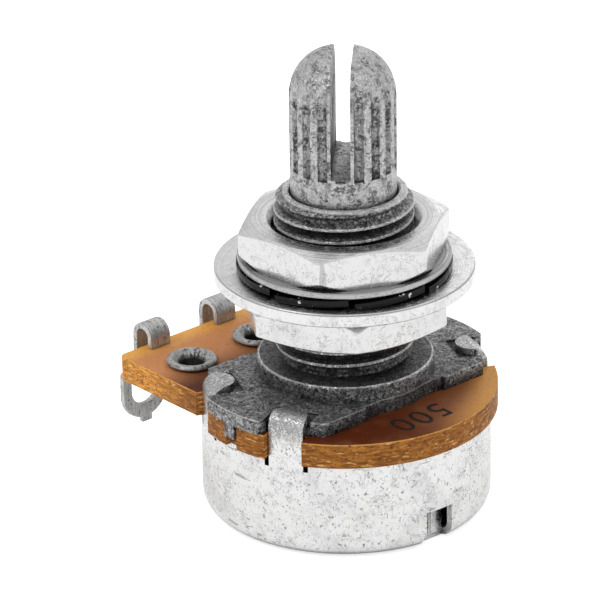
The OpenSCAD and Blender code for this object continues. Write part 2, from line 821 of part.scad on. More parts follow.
module wide_washer() {
    color("silver") translate([wide_off * cos(wide_dir), wide_off * sin(wide_dir), wide_z])
        washer(wide_d, wide_bore_d, wide_t);
}

// Toothed washer, each broad tooth twisted out of the ring's plane
module toothed_washer() {
    ring_out = washer_r + lock_ring_w;
    half_a = 180 / tooth_n * tooth_fill;
    tilt = asin((lock_h - lock_t) / lock_d / sin(half_a));
    middle = lock_z + lock_h / 2;
    color("#1c1c1e") translate([0, 0, middle]) difference() {
        union() {
            translate([0, 0, -lock_t / 2]) cylinder(r = ring_out, h = lock_t);
            for (i = [0 : tooth_n - 1]) rotate(lock_turn + (i + 0.5) * 360 / tooth_n)
                intersection() {
                    rotate([tilt, 0, 0]) translate([0, -lock_d / 2, -lock_t / 2])
                        cube([lock_d, lock_d, lock_t]);
                    translate([0, 0, -lock_h / 2]) linear_extrude(lock_h) intersection() {
                        circle(d = lock_d);
                        polygon([[0, 0], [lock_d * cos(half_a), -lock_d * sin(half_a)],
                            [lock_d * cos(half_a), lock_d * sin(half_a)]]);
                        translate([washer_r, -lock_d / 2]) square(lock_d);
                    }
                }
        }
        translate([0, 0, -lock_h]) cylinder(r = washer_r, h = 2 * lock_h);
    }
}

module thin_washer() {
    color("darkgray") translate([0, 0, thin_z]) washer(thin_d, 2 * washer_r, thin_t);
}

rear_cover();
resistor_board();
resistive_track();
collector_ring();
terminal_left();
terminal_middle();
terminal_right();
eyelet_left();
eyelet_middle();
eyelet_right();
mounting_plate();
shaft();
retaining_clip();
thrust_washer();
rotor();
wiper_contact();
lower_nut();
wide_washer();
toothed_washer();
thin_washer();
top_nut();
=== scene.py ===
"""Finished surfaces of a panel potentiometer: can, board, lugs, bushing, shaft and nuts."""

import math

import bmesh
import bpy
import numpy as np
from bpy.props import (BoolProperty, FloatProperty, FloatVectorProperty, IntProperty,
                       PointerProperty, StringProperty)
from mathutils import Matrix


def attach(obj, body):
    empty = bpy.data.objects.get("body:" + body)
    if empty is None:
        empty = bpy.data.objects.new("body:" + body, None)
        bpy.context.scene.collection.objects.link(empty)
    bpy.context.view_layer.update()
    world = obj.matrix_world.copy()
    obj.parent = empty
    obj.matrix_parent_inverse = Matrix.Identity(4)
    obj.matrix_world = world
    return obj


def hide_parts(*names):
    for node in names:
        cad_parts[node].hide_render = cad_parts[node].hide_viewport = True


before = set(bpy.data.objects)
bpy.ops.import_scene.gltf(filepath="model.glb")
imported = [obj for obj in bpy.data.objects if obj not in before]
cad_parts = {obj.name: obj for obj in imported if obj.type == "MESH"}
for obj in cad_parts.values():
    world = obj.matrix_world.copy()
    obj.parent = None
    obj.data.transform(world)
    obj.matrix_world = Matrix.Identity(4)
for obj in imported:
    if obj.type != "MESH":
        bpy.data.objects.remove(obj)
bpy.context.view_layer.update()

bl_info = {
    "name": "Panel potentiometer",
    "version": (1, 0, 0),
    "blender": (4, 5, 0),
    "location": "3D View > Sidebar > Potentiometer",
    "description": "Builds the finished surfaces of a panel potentiometer and its studio",
    "category": "Object",
}

MM = 0.001
TURN = 2 * math.pi

# Levels of the part in millimetres, as its solids have them
CAN_RIM, BOARD_TOP, PLATE_TOP, BOSS_TOP, BUSHING_TOP = 5.85, 7.35, 8.2, 9.1, 19.1
TAB_FOOT, SLOT_FOOT, DOME_Z, BOSS_R, SHAFT_R = 6.6, 21.6, 24.6, 5.0, 3.0
LOWER_NUT_Z, WIDE_Z, LOCK_Z, THIN_Z, TOP_NUT_Z = 11.35, 13.5, 14.3, 14.95, 15.3

# Thread's radius, depth and pitch, the drop of its crests along the neck and the lead, the
# chamfer at its end, and the room that the sleeve leaves over the core
THREAD_R, THREAD_DEPTH, THREAD_PITCH = 3.95, 0.4, 0.75
NECK, LEAD, CREST_DROP, END_CHAMFER, ROOT_ROOM = 0.72, 0.7, 0.27, 0.15, 0.12

# Nuts: height, width across the flats, bore radius and its lead, radius of the corners
NUT_HEIGHT, NUT_FLATS, NUT_BORE, NUT_LEAD, NUT_CORNER = 2.15, 10.8, 4.0, 0.4, 0.42
SHALLOW_CHAMFER, STEEP_CHAMFER = math.radians(20), math.radians(43)
LOWER_NUT_TURN, TOP_NUT_TURN = 54.7, 34.5

# Washers: inner and outer radii, where the wide one hangs, and the teeth
WIDE_RING, THIN_RING, TOOTHED_RING = (4.85, 7.4), (4.15, 6.05), (4.15, 4.9)
WIDE_SHIFT, WIDE_HEADING = 0.75, math.radians(48)
TEETH, TOOTH_R, TOOTH_W, TOOTH_T, TOOTH_END = 8, 5.4, 1.4, 0.4, 6.1
TOOTH_HALF, FIRST_TOOTH = math.radians(22.5 * 0.93), math.radians(6.7)

# Lugs: sheet, hooks (width, outer radius, height over the board), loops and nibs
PITCH_OF_LUGS, EYELET_Y, TONGUE_Y, LOOP_Y, LUG_T = 5.0, 7.6, 11.28, 12.18, 0.35
HOOK_W, HOOK_R, HOOK_TOP, LUG_BEND = 1.45, 0.84, 1.4, 0.275
LOOP_HALF, LOOP_DROP, RAIL_W, BAR_W = 1.65, 3.35, 0.65, 0.6
NIB_W, NIB_TOP, NIB_FOOT, PAD_RING = 0.7, 2.8, 2.2, (0.92, 1.525)

# Eyelets: radii of the hole, of the tube and of the flared head
HOLE_R, TUBE_R, HEAD_R = 0.725, 0.9, 1.475

# Rounding of the edges of sheet and board, and of the shaft's
SHEET_SOFT, SHAFT_SOFT = 0.05, 0.09

# Digits: height, spacing, thickness, and place on the board
DIGIT_H, DIGIT_GAP, DIGIT_T, DIGIT_X, DIGIT_Y = 2.4, 1.15, 0.006, -0.4, -6.6

# Camera in metres and radians: its place, and its pitch down, heading and roll
CAMERA_EYE = (-0.17948836, -0.20035571, 0.13331978)
CAMERA_ANGLES = (0.42284731, 0.84970597, -0.01494163)
SENSOR_W = 36.0

# Soft lights in metres and watts: name, place, height of the aim, width, height, power
LIGHTS = (("Key", (-0.25, 0.05, 0.32), 0.012, 0.22, 0.22, 0.26),
          ("Fill", (0.16, -0.34, 0.2), 0.012, 0.16, 0.22, 0.08),
          ("Rim", (0.3, 0.22, 0.16), 0.014, 0.1, 0.3, 0.06))

# Greys of the studio at the horizon and overhead, and the rise where the second is reached
HORIZON, OVERHEAD, OVERHEAD_Z = 0.74, 0.95, 0.9

# Floor: half its side and its level in mm, its grey, and its glow to the camera and in gloss
FLOOR_HALF, FLOOR_Z, FLOOR_TONE, FLOOR_GLOW, GLOSS_GLOW = 900, -0.01, 0.9, 0.62, 0.3


def surface(name, points, close_u=True, close_v=False, flip=False):
    """Mesh of a grid of points: quads join neighbours along u (rows) and v (columns).

    Points come in millimetres. A closed direction joins its last line to its first.
    Points that fall together, as at a pole, are merged.
    """
    nu, nv = points.shape[:2]
    u = np.arange(nu if close_u else nu - 1)
    v = np.arange(nv if close_v else nv - 1)
    a, b = np.meshgrid(u, v, indexing="ij")
    c, d = (a + 1) % nu, (b + 1) % nv
    quads = np.stack([a * nv + b, c * nv + b, c * nv + d, a * nv + d], -1).reshape(-1, 4)
    if flip:
        quads = quads[:, ::-1]
    mesh = bpy.data.meshes.new(name)
    mesh.from_pydata((points.reshape(-1, 3) * MM).tolist(), [], quads.tolist())
    tidy_mesh(mesh, 1e-7)
    return mesh


def tidy_mesh(mesh, distance):
    """Merges points closer than the distance and drops the faces that vanish."""
    shell = bmesh.new()
    shell.from_mesh(mesh)
    bmesh.ops.remove_doubles(shell, verts=shell.verts, dist=distance)
    bmesh.ops.dissolve_degenerate(shell, edges=shell.edges, dist=distance)
    shell.to_mesh(mesh)
    shell.free()


def joined(name, meshes):
    """One mesh that holds all the given ones."""
    shell = bmesh.new()
    for mesh in meshes:
        shell.from_mesh(mesh)
    whole = bpy.data.meshes.new(name)
    shell.to_mesh(whole)
    shell.free()
    return whole


def piece(name, mesh, material, body, sharp=40.0, turned=False):
    """An object for a mesh, smooth up to the sharp angle, riding on a body of the frame."""
    mesh.materials.clear()
    mesh.materials.append(material)
    mesh.shade_smooth()
    mesh.set_sharp_from_angle(angle=math.radians(sharp))
    if turned:
        true_round(mesh)
    thing = bpy.data.objects.new(name, mesh)
    bpy.context.scene.collection.objects.link(thing)
    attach(thing, body)
    return thing


def rows(items, key, width=3, kind=float):
    """One property of all the items of a mesh, a row for each."""
    values = np.empty(len(items) * width, kind)
    items.foreach_get(key, values)
    return values.reshape(-1, width)


def true_round(mesh):
    """Turns the normals of faces that run round the Z axis straight out from it.

    A corner normal n keeps its rise n_z and its horizontal length h, and points along
    s * h * (x, y) / |(x, y)|, with s its side. On upright walls n_z becomes 0 and h 1.
    """
    normal, place = rows(mesh.corner_normals, "vector"), rows(mesh.vertices, "co")
    flat, middle = rows(mesh.polygons, "normal"), rows(mesh.polygons, "center")
    corner = rows(mesh.loops, "vertex_index", 1, int)[:, 0]
    size = rows(mesh.polygons, "loop_total", 1, int)[:, 0]
    ray = middle[:, :2] / np.maximum(np.hypot(*middle[:, :2].T), 1e-9)[:, None]
    level = np.hypot(*flat[:, :2].T)
    turned = (np.abs((flat[:, :2] * ray).sum(1)) > 0.997 * level) & (level > 0.08)
    turned = np.repeat(turned, size)
    spot = place[corner, :2]
    out = spot / np.maximum(np.hypot(*spot.T), 1e-9)[:, None]
    upright = np.repeat(np.abs(flat[:, 2]) < 0.05, size) & turned
    normal[:, 2] = np.where(upright, 0, normal[:, 2])
    h = np.hypot(*normal[:, :2].T) * np.sign((normal[:, :2] * out).sum(1))
    h = np.where(upright, np.sign(h), h)
    normal[:, :2] = np.where(turned[:, None], out * h[:, None], normal[:, :2])
    mesh.normals_split_custom_set(normal.tolist())


def softened(node, width):
    """Copy of a CAD node, its triangles merged, its hard edges rounded to the width in mm.

    Edges that turn by less than half a degree vanish, and those over 30 degrees are hard.
    """
    shell = bmesh.new()
    shell.from_mesh(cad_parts[node].data)
    bmesh.ops.remove_doubles(shell, verts=shell.verts, dist=1e-6)
    bmesh.ops.dissolve_limit(shell, angle_limit=math.radians(0.5), verts=shell.verts,
                             edges=shell.edges)
    mesh = bpy.data.meshes.new(node)
    shell.to_mesh(mesh)
    shell.free()
    thing = bpy.data.objects.new(node, mesh)
    bevel = thing.modifiers.new("Soft edges", "BEVEL")
    bevel.width = width * MM
    bevel.segments = 2
    bevel.limit_method = "ANGLE"
    bevel.angle_limit = math.radians(30)
    return evaluated(thing)


def evaluated(thing):
    """Mesh of a new object as its modifiers or its text leave it. The object goes again."""
    bpy.context.scene.collection.objects.link(thing)
    mesh = bpy.data.meshes.new_from_object(
        thing.evaluated_get(bpy.context.evaluated_depsgraph_get()))
    bpy.data.objects.remove(thing)
    return mesh


def polar(r, theta, z):
    """Points (r cos(theta), r sin(theta), z) of arrays that fit one another."""
    return np.stack(np.broadcast_arrays(r * np.cos(theta), r * np.sin(theta), z), -1)


def rounded(profile, radius, count):
    """A closed polyline whose corners are replaced by quadratic curves.

    Each corner P gives count points from P + radius towards the last point to P + radius
    towards the next, on B(t) = (1-t)^2 A + 2t(1-t) P + t^2 C. Works on (..., n, 2) arrays.
    """
    before, after = np.roll(profile, 1, -2), np.roll(profile, -1, -2)

    def towards(other):
        gap = other - profile
        length = np.linalg.norm(gap, axis=-1, keepdims=True)
        return profile + gap / np.maximum(length, 1e-9) * np.minimum(radius, length * 0.45)

    t = np.linspace(0, 1, count)[:, None]
    a, p, c = (x[..., :, None, :] for x in (towards(before), profile, towards(after)))
    curve = (1 - t) ** 2 * a + 2 * t * (1 - t) * p + t ** 2 * c
    return curve.reshape(*profile.shape[:-2], -1, 2)


def strip(path, normal, width, thick, edge=0.08):
    """A flat strip carried along a path of points, with rounded long edges and closed ends.

    At each point the section is a rounded rectangle, wide along tangent x normal and thick
    along the normal, which is one for all points or one for each. The end loops shrink to
    their middles.
    """
    tangent = np.gradient(path, axis=0)
    tangent /= np.linalg.norm(tangent, axis=1, keepdims=True)
    normal = normal - (normal * tangent).sum(1, keepdims=True) * tangent
    normal /= np.linalg.norm(normal, axis=1, keepdims=True)
    side = np.cross(tangent, normal)
    half = np.broadcast_to(np.asarray(width, float) / 2, len(path))
    corner = np.array([[1, -1], [1, 1], [-1, 1], [-1, -1]], float)
    square = corner[None] * np.stack([half, np.full(len(path), thick / 2)], -1)[:, None]
    loop = rounded(square, edge, 3)
    points = path[:, None] + loop[..., :1] * side[:, None] + loop[..., 1:] * normal[:, None]
    ends = [np.repeat(path[k:k + 1, None], points.shape[1], 1) for k in (0, -1)]
    return np.concatenate([ends[0], points, ends[1]], 0).transpose(1, 0, 2)


def arc(centre, start, stop, radius, count):
    """Points of a plane arc, from one angle to the other in degrees."""
    angle = np.radians(np.linspace(start, stop, count))
    return np.stack([centre[0] + radius * np.cos(angle), centre[1] + radius * np.sin(angle)], -1)


def maths(operation, reflected=False):
    """A method of Value that adds one Math node, its values turned round if reflected."""

    def method(self, *others):
        values = (self, *others)[::-1] if reflected else (self, *others)
        return self.nodes.node("ShaderNodeMath", {"operation": operation},
                               dict(enumerate(values)))

    return method


class Value:
    """One socket of a node tree. Python's operators add the Math nodes."""

    def __init__(self, nodes, socket):
        self.nodes, self.socket = nodes, socket

    __add__ = __radd__ = maths("ADD")
    __mul__ = __rmul__ = maths("MULTIPLY")
    __sub__, __rsub__ = maths("SUBTRACT"), maths("SUBTRACT", True)
    __truediv__, __pow__ = maths("DIVIDE"), maths("POWER")
    least, most, size = maths("MINIMUM"), maths("MAXIMUM"), maths("ABSOLUTE")

    def ramp(self, low, high):
        """0 below low, 1 above high, smooth between. Reversed limits turn it round."""
        return self.nodes.node("ShaderNodeMapRange", {"interpolation_type": "SMOOTHSTEP"},
                               {"Value": self, "From Min": low, "From Max": high})


class Nodes:
    """A node tree, with one method that adds any node to it."""

    def __init__(self, tree):
        self.tree = tree

    def feed(self, socket, value):
        """Links a Value to a socket, or sets a plain number, colour or vector on it."""
        if isinstance(value, Value):
            self.tree.links.new(value.socket, socket)
        elif socket.type == "RGBA":
            socket.default_value = (*value, 1.0)
        else:
            socket.default_value = value

    def node(self, kind, settings=None, sockets=None, out=0):
        """Any node: its settings first, then the values or links of its sockets."""
        node = self.tree.nodes.new(kind)
        for key, value in (settings or {}).items():
            setattr(node, key, value)
        for key, value in (sockets or {}).items():
            self.feed(node.inputs[key], value)
        return Value(self, node.outputs[out])


class Finish(Nodes):
    """A material with one Principled shader and the nodes that vary it over the surface."""

    def __init__(self, name, **fixed):
        self.material = bpy.data.materials.new(name)
        self.material.use_nodes = True
        super().__init__(self.material.node_tree)
        self.shader = self.tree.nodes["Principled BSDF"]
        for socket, value in fixed.items():
            self.shader.inputs[socket.replace("_", " ")].default_value = value
        self.place = self.node("ShaderNodeTexCoord", out="Object")

    def stretched(self, scale, turn=(0, 0, 0)):
        """Object coordinates in millimetres, times the scale of each axis."""
        return self.node("ShaderNodeMapping", {},
                         {"Vector": self.place, "Rotation": turn,
                          "Scale": tuple(s / MM for s in scale)})

    def noise(self, scale, detail=3.0, turn=(0, 0, 0), distortion=0.0):
        """Noise with scale waves per millimetre, one number or one for each axis."""
        scale = scale if isinstance(scale, tuple) else (scale,) * 3
        return self.node("ShaderNodeTexNoise", {},
                         {"Vector": self.stretched(scale, turn), "Scale": 1.0,
                          "Detail": detail, "Distortion": distortion})

    def from_axis(self):
        """Distance from the Z axis in millimetres: sqrt(x^2 + y^2)."""
        x, y = self.axis("X"), self.axis("Y")
        return (x * x + y * y) ** 0.5

    def axis(self, letter):
        """One object coordinate in millimetres."""
        parts = self.node("ShaderNodeSeparateXYZ", {}, {"Vector": self.place}, out=letter)
        return parts / MM

    def level_faces(self, low=0.6, high=0.95):
        """0 on walls, 1 on faces across the Z axis: a ramp of the normal's rise |n_z|."""
        normal = self.node("ShaderNodeTexCoord", out="Normal")
        rise = self.node("ShaderNodeSeparateXYZ", {}, {"Vector": normal}, out="Z")
        return rise.size().ramp(low, high)

    def wrinkles(self, scale, width, seed=0.0, distortion=1.2):
        """1 along thin wandering lines, where noise passes its middle: |n - 1/2| < width."""
        wave = self.noise(scale, 4.0, (seed, 0.3, seed), distortion)
        return (wave - 0.5).size().ramp(width, 0.0)

    def edges(self, low, high):
        """1 along convex edges, from how far the surface bends there."""
        return self.node("ShaderNodeNewGeometry", out="Pointiness").ramp(low, high)

    def shelter(self, reach):
        """1 on open faces, falling towards 0 in corners narrower than the reach in mm."""
        return self.node("ShaderNodeAmbientOcclusion", {"samples": 8},
                         {"Distance": reach * MM}, out="AO")

    def blend(self, factor, first, second):
        """Colour that goes from the first to the second as the factor goes from 0 to 1."""
        return self.node("ShaderNodeMix", {"data_type": "RGBA"},
                         {0: factor, 6: first, 7: second}, out=2)

    def over(self, colour, *layers):
        """The colour with each layer, a factor and a colour, blended over it in turn."""
        for factor, tone in layers:
            colour = self.blend(factor, colour, tone)
        return colour

    def finish(self, colour, roughness, height=None, depth=0.0):
        """Feeds the shader: colour, roughness, and bumps of the depth in mm."""
        self.feed(self.shader.inputs["Base Color"], colour)
        self.feed(self.shader.inputs["Roughness"], roughness)
        if height is not None:
            bump = self.node("ShaderNodeBump", {}, {"Height": height, "Distance": depth * MM,
                                                    "Strength": 1.0})
            self.feed(self.shader.inputs["Normal"], bump)
        return self.material


def shade(tone, share):
    """A colour with each part times a share."""
    return tuple(c * share for c in tone)


def plated_sheet(name, tone, dull=0.6, rough=0.24, specks=1.0, seed=0.0, turned=0.0,
                 worked_above=None, rim_line=None):
    """Bright plating on steel: soft blotches, dark specks, scratches, turning lines, and
    painted shade in corners.

    Above a level in mm, the metal is dulled and crinkled, as on tabs that were folded. A rim
    line is the level of a thin dark line where a stamped edge turns into its wall.
    """
    f = Finish(name, Metallic=1.0)
    blotch = f.noise(0.5, 3.0, (seed, seed, 0), 0.4).ramp(0.45, 0.7)
    cloud = f.noise(3.0, 5.0, (0, seed, 1), 0.6).ramp(0.5, 0.68)
    pits = f.noise(8.0, 3.0, (seed, 2, 0)).ramp(0.64, 0.69) * f.noise(0.7).ramp(0.5, 0.62)
    spots = f.noise(2.4, 4.0, (2, seed, 0)).ramp(0.68, 0.71)
    veins = f.wrinkles(1.5, 0.035, seed, 2.0) * f.noise(1.1, 2.0, (0, 2, seed)).ramp(0.48, 0.62)
    lines = (f.noise((9.0, 0.5, 3.0), 2.0, (0.3, 0.2, seed)).ramp(0.66, 0.68)
             + f.noise((0.6, 8.0, 4.0), 2.0, (0.1, 0.5, 1 + seed)).ramp(0.66, 0.68)).least(1.0)
    marks = (pits * 0.6 + spots * 0.6 + lines * 0.5 + veins * 0.35).least(1.0)
    colour = f.over(
        tone,
        (blotch * 0.3 + cloud * 0.35, shade(tone, dull)),
        (marks * specks, (0.09, 0.088, 0.085)),
        # Painted shade: darker in corners and recesses, from the occlusion mask
        (f.shelter(0.8).ramp(0.75, 0.2) * 0.7, (0.05, 0.05, 0.05)))
    height = f.noise(1.1, 3.0) * 0.5 - lines * 0.25 - pits * 0.5 - spots * 0.4 - veins * 0.3
    if rim_line:
        line = (f.axis("Z") - rim_line).size().ramp(0.06, 0.02)
        colour = f.blend(line * 0.55, colour, (0.08, 0.08, 0.08))
    if worked_above:
        worked = f.axis("Z").ramp(worked_above, worked_above + 1.2)
        crinkle = f.wrinkles(3.2, 0.09, seed, 1.6)
        colour = f.over(colour, (worked * 0.32, shade(tone, 0.5)),
                        (worked * crinkle * 0.6, (0.12, 0.12, 0.12)))
        height = height + worked * (f.noise(3.0, 4.0) - crinkle * 0.5)
    if turned:
        rings = f.node("ShaderNodeTexNoise", {"noise_dimensions": "1D"},
                       {"W": f.from_axis() * 9.0, "Scale": 1.0, "Detail": 2.0})
        rings = rings.ramp(0.42, 0.62) * f.level_faces() * turned
        colour = f.over(colour, (f.edges(0.54, 0.62) * 0.35, (0.1, 0.1, 0.1)),
                        (rings, shade(tone, 0.4)))
        height = height + rings
    roughness = rough + blotch * 0.07 + cloud * 0.08 + pits * 0.3
    return f.finish(colour, roughness, height, 0.03)


def cast_zinc():
    """Grey casting: fine wrinkled skin, dark pores, edges and crests rubbed bright, and
    painted shade in the thread's roots and in corners.

    Bands of the distance r from the axis and of the height z mark where it is worn: the
    thread's crests, the rims of boss and bushing, and the plate's upper edge.
    """
    f = Finish("Cast zinc", Metallic=0.85)
    r, z = f.from_axis(), f.axis("Z")
    mottle = f.noise(1.8, 6.0, distortion=0.4)
    grain = f.noise(6.5, 3.0, (1, 0, 0))
    bright = f.noise(5.5, 4.0, (0, 1, 0)).ramp(0.56, 0.66)
    pores = f.noise(5.0, 4.0, (2, 0, 1)).ramp(0.57, 0.65)
    light, dark = f.wrinkles(2.6, 0.06, 0.5), f.wrinkles(2.0, 0.07, 2.0)
    crest = (r.ramp(THREAD_R - 0.07, THREAD_R - 0.02)
             * (1 - r.ramp(THREAD_R + 0.02, THREAD_R + 0.05))
             * z.ramp(BOSS_TOP + 0.1, BOSS_TOP + 0.3))
    # Painted shade in the thread's roots along the bushing
    groove = ((1 - r.ramp(THREAD_R - 0.37, THREAD_R - 0.15))
              * z.ramp(BOSS_TOP + 0.8, BOSS_TOP + 0.9)
              * (1 - z.ramp(BUSHING_TOP - 0.8, BUSHING_TOP - 0.6)))
    rim = (r.ramp(BOSS_R - 0.14, BOSS_R - 0.07) * z.ramp(BOSS_TOP - 0.1, BOSS_TOP - 0.04)
           + z.ramp(BUSHING_TOP - 0.12, BUSHING_TOP - 0.05))
    edge = z.ramp(PLATE_TOP - 0.09, PLATE_TOP - 0.04) * (1 - z.ramp(PLATE_TOP - 0.01, PLATE_TOP))
    worn = ((crest * 0.9 + rim + edge * 0.6) * mottle.ramp(0.15, 0.45)).least(1.0)
    colour = f.over(
        (0.11, 0.111, 0.115),
        (mottle.ramp(0.3, 0.7), (0.30, 0.302, 0.31)),
        (grain.ramp(0.46, 0.62) * 0.3, (0.5, 0.5, 0.51)),
        ((bright * 0.35 + light * 0.55).least(1.0), (0.85, 0.85, 0.86)),
        ((pores * 0.55 + dark * 0.7).least(1.0), (0.008, 0.008, 0.009)),
        # Painted shade in the thread's roots
        (groove * 0.8, (0.02, 0.02, 0.02)),
        # Painted shade: darker in corners and next to the nuts and washers, from the occlusion
        # mask
        (f.shelter(4.0).ramp(0.85, 0.3) * 0.88, (0.012, 0.012, 0.013)),
        (worn, (0.8, 0.8, 0.8)))
    roughness = 0.34 + pores * 0.2 - bright * 0.1 - worn * 0.06
    height = mottle * 0.6 + grain * 0.4 + light * 0.4 - dark * 0.6 - pores * 0.3
    return f.finish(colour, roughness, height, 0.15)


def shaft_metal():
    """Matte grey rolled bar: lengthwise streaks, fine worm marks, bright rubbed ridges,
    painted glints, a painted highlight on the slot's walls and painted shade in the flutes.
    """
    f = Finish("Shaft metal", Metallic=0.9)
    r, z = f.from_axis(), f.axis("Z")
    # Flute crests and the dome rubbed bright, and near the axis a painted highlight on the slot's
    # walls
    rubbed_ridges_and_lit_slot = (r.ramp(SHAFT_R - 0.16, SHAFT_R - 0.02) + z.ramp(DOME_Z, DOME_Z + 0.6)
             + r.ramp(2.5, 2.3)).least(1.0)
    streak = f.noise((5.0, 5.0, 0.3), 4.0)
    mottle = f.noise(2.0, 6.0, (1, 0, 0), 0.5)
    grain = f.noise(6.5, 3.0, (0, 1, 1))
    pits = f.noise(5.5, 4.0, (0, 2, 0)).ramp(0.60, 0.67)
    worms = f.wrinkles(2.4, 0.07, 1.0) * f.noise(1.6, 2.0, (3, 0, 0)).ramp(0.45, 0.6)
    glints = f.wrinkles(3.0, 0.06, 3.0)
    nicks = f.noise((8.0, 8.0, 1.6), 3.0, (0, 0, 2)).ramp(0.62, 0.68)
    # Painted highlight: the slot's walls made pale, standing in for light through the slot
    slot = (r.ramp(2.75, 2.6) * (1 - f.level_faces(0.1, 0.3))
            * z.ramp(SLOT_FOOT, SLOT_FOOT + 0.6))
    colour = f.over(
        (0.2, 0.2, 0.205),
        (rubbed_ridges_and_lit_slot * 0.75 + streak.ramp(0.35, 0.7) * 0.25, (0.42, 0.42, 0.42)),
        (mottle.ramp(0.45, 0.7) * 0.25, (0.5, 0.5, 0.5)),
        (grain.ramp(0.48, 0.62) * 0.28 + glints * 0.4, (0.8, 0.8, 0.79)),
        ((pits * 0.28 + worms * 0.65 + nicks * 0.2).least(1.0), (0.02, 0.02, 0.022)),
        # Painted shade: darker in the flutes and corners, from the occlusion mask
        (f.shelter(0.7).ramp(0.85, 0.35) * 0.7, (0.02, 0.02, 0.021)),
        # Painted highlight on the slot's walls
        (slot * 0.8, (0.85, 0.85, 0.85)))
    roughness = 0.36 + mottle * 0.16 + pits * 0.2
    height = streak * 0.4 + mottle * 0.5 + grain * 0.3 - worms * 0.6 - nicks * 0.3
    return f.finish(colour, roughness, height, 0.16)


def laminate():
    """Brown board: tan dull face, and a dark golden punched edge with streaks and flecks.

    The face is darkest round the plate. It turns to tan along the tongue, and painted light
    makes it paler, and gold at the rim, on the right in front, seen from above with the
    tongue at the back.
    """
    f = Finish("Laminate", Metallic=0.0, Specular_IOR_Level=0.15)
    x, y, z = (f.axis(letter) for letter in "XYZ")
    face = z.ramp(BOARD_TOP - 0.03, BOARD_TOP - 0.01)
    tongue = y.ramp(5.0, 8.5)
    cloud = f.noise(0.7, 4.0)
    fibre = f.noise((1.6, 1.6, 8.0), 5.0, (0, 0, 0.4), 0.4)
    fleck = f.noise(6.0, 4.0, (1, 1, 0)).ramp(0.60, 0.66)
    gold = f.noise((2.2, 2.2, 7.0), 5.0, (0, 1, 1)).ramp(0.56, 0.68)
    # Painted light: a gradient that grows towards the right in front
    right = x * 0.75 - y * 0.66
    top = f.over(
        (0.085, 0.015, 0.002),
        # Painted light: the face paler, and gold at its rim, towards the right in front
        (right.ramp(2.0, 8.0), (0.235, 0.08, 0.025)),
        (right.ramp(4.5, 8.5) * f.from_axis().ramp(6.4, 8.2), (0.62, 0.29, 0.07)),
        (tongue, (0.60, 0.25, 0.095)),
        (cloud.ramp(0.45, 0.8) * 0.15, (0.45, 0.2, 0.08)),
        (y.ramp(9.6, 11.2) * 0.7, (0.92, 0.47, 0.07)))
    rim = z.ramp(BOARD_TOP - 0.14, BOARD_TOP - 0.07) * (1 - face)
    side = f.over(
        (0.25, 0.085, 0.014),
        (tongue * 0.7 + fibre.ramp(0.3, 0.72) * 0.3, (0.85, 0.36, 0.06)),
        (fibre.ramp(0.62, 0.35) * 0.45, (0.12, 0.035, 0.006)),
        (gold * (0.5 + tongue * 0.2), (0.95, 0.62, 0.26)),
        (rim * 0.5, (0.85, 0.45, 0.12)))
    flecks = fleck * (1 - face * 0.75) * 0.8
    colour = f.over(side, (face, top), (flecks, (0.08, 0.028, 0.01)))
    bumps = fibre * (1 - face) + f.noise(3.0, 4.0) * 0.35 - fleck * 0.4
    return f.finish(colour, 0.42 + fibre * 0.22, bumps, 0.04)


def tinned_sheet(name, tone, rough, marks=1.0, shaded_bore=False):
    """Tin on brass: brushed lines along the strip, dull patches, dark stains, and painted
    shade in corners.

    On an eyelet, the bore below its head is darkened with painted shade.
    """
    f = Finish(name, Metallic=0.75)
    brush = f.noise((14.0, 1.0, 1.0), 3.0)
    patch = f.noise(1.2, 4.0, (1, 0, 0), 0.6).ramp(0.45, 0.7)
    stain = f.noise(5.4, 5.0, (0, 1, 0)).ramp(0.56, 0.66)
    colour = f.over(
        shade(tone, 0.6),
        (brush.ramp(0.4, 0.6) * 0.7, tone),
        (patch * 0.4, (0.4, 0.4, 0.395)),
        (stain * 0.65 * marks, (0.1, 0.1, 0.1)),
        # Painted shade: darker in corners, from the occlusion mask
        (f.shelter(0.4).ramp(0.8, 0.3) * 0.8, (0.03, 0.03, 0.03)))
    if shaded_bore:
        # Painted shade inside the eyelet's bore
        bore = f.axis("Z").ramp(BOARD_TOP + 0.22, BOARD_TOP - 0.1)
        colour = f.blend(bore * 0.85, colour, (0.02, 0.02, 0.02))
    roughness = rough + patch * 0.16 + stain * 0.15
    return f.finish(colour, roughness, brush * 0.6 + patch * 0.5 - stain * 0.5, 0.03)


def black_oxide():
    """Glossy blackened spring steel with a few glints painted in as bright spots."""
    f = Finish("Black oxide", Metallic=0.4, Specular_IOR_Level=0.3)
    # Painted glints: bright spots on the black
    glint_spots = f.noise(2.6, 3.0).ramp(0.66, 0.7)
    colour = f.blend(glint_spots, (0.004, 0.004, 0.005), (0.7, 0.7, 0.71))
    return f.finish(colour, 0.22 + glint_spots * 0.1, f.noise(2.6, 4.0), 0.05)


def plain_finish(name, tone, metallic, rough):
    """Plain finish of a piece inside the can, with a light grain."""
    f = Finish(name, Metallic=metallic)
    grain = f.noise(3.0, 4.0)
    colour = f.blend(grain.ramp(0.35, 0.7), shade(tone, 0.82), tone)
    return f.finish(colour, rough + grain * 0.08, grain, 0.01)


def ink():
    """Dull dark ink, worn thin in places."""
    f = Finish("Ink", Metallic=0.0, Specular_IOR_Level=0.1)
    worn = f.noise(5.0, 3.0).ramp(0.6, 0.75)
    return f.finish(f.blend(worn * 0.5, (0.02, 0.014, 0.01), (0.12, 0.06, 0.03)), 0.6)


def size_in_mm(name, default, low, high, description):
    """A length between two limits, given in millimetres and kept in metres."""
    return FloatProperty(name=name, default=default * MM, min=low * MM, max=high * MM,
                         subtype="DISTANCE", unit="LENGTH", precision=5,
                         description=description)


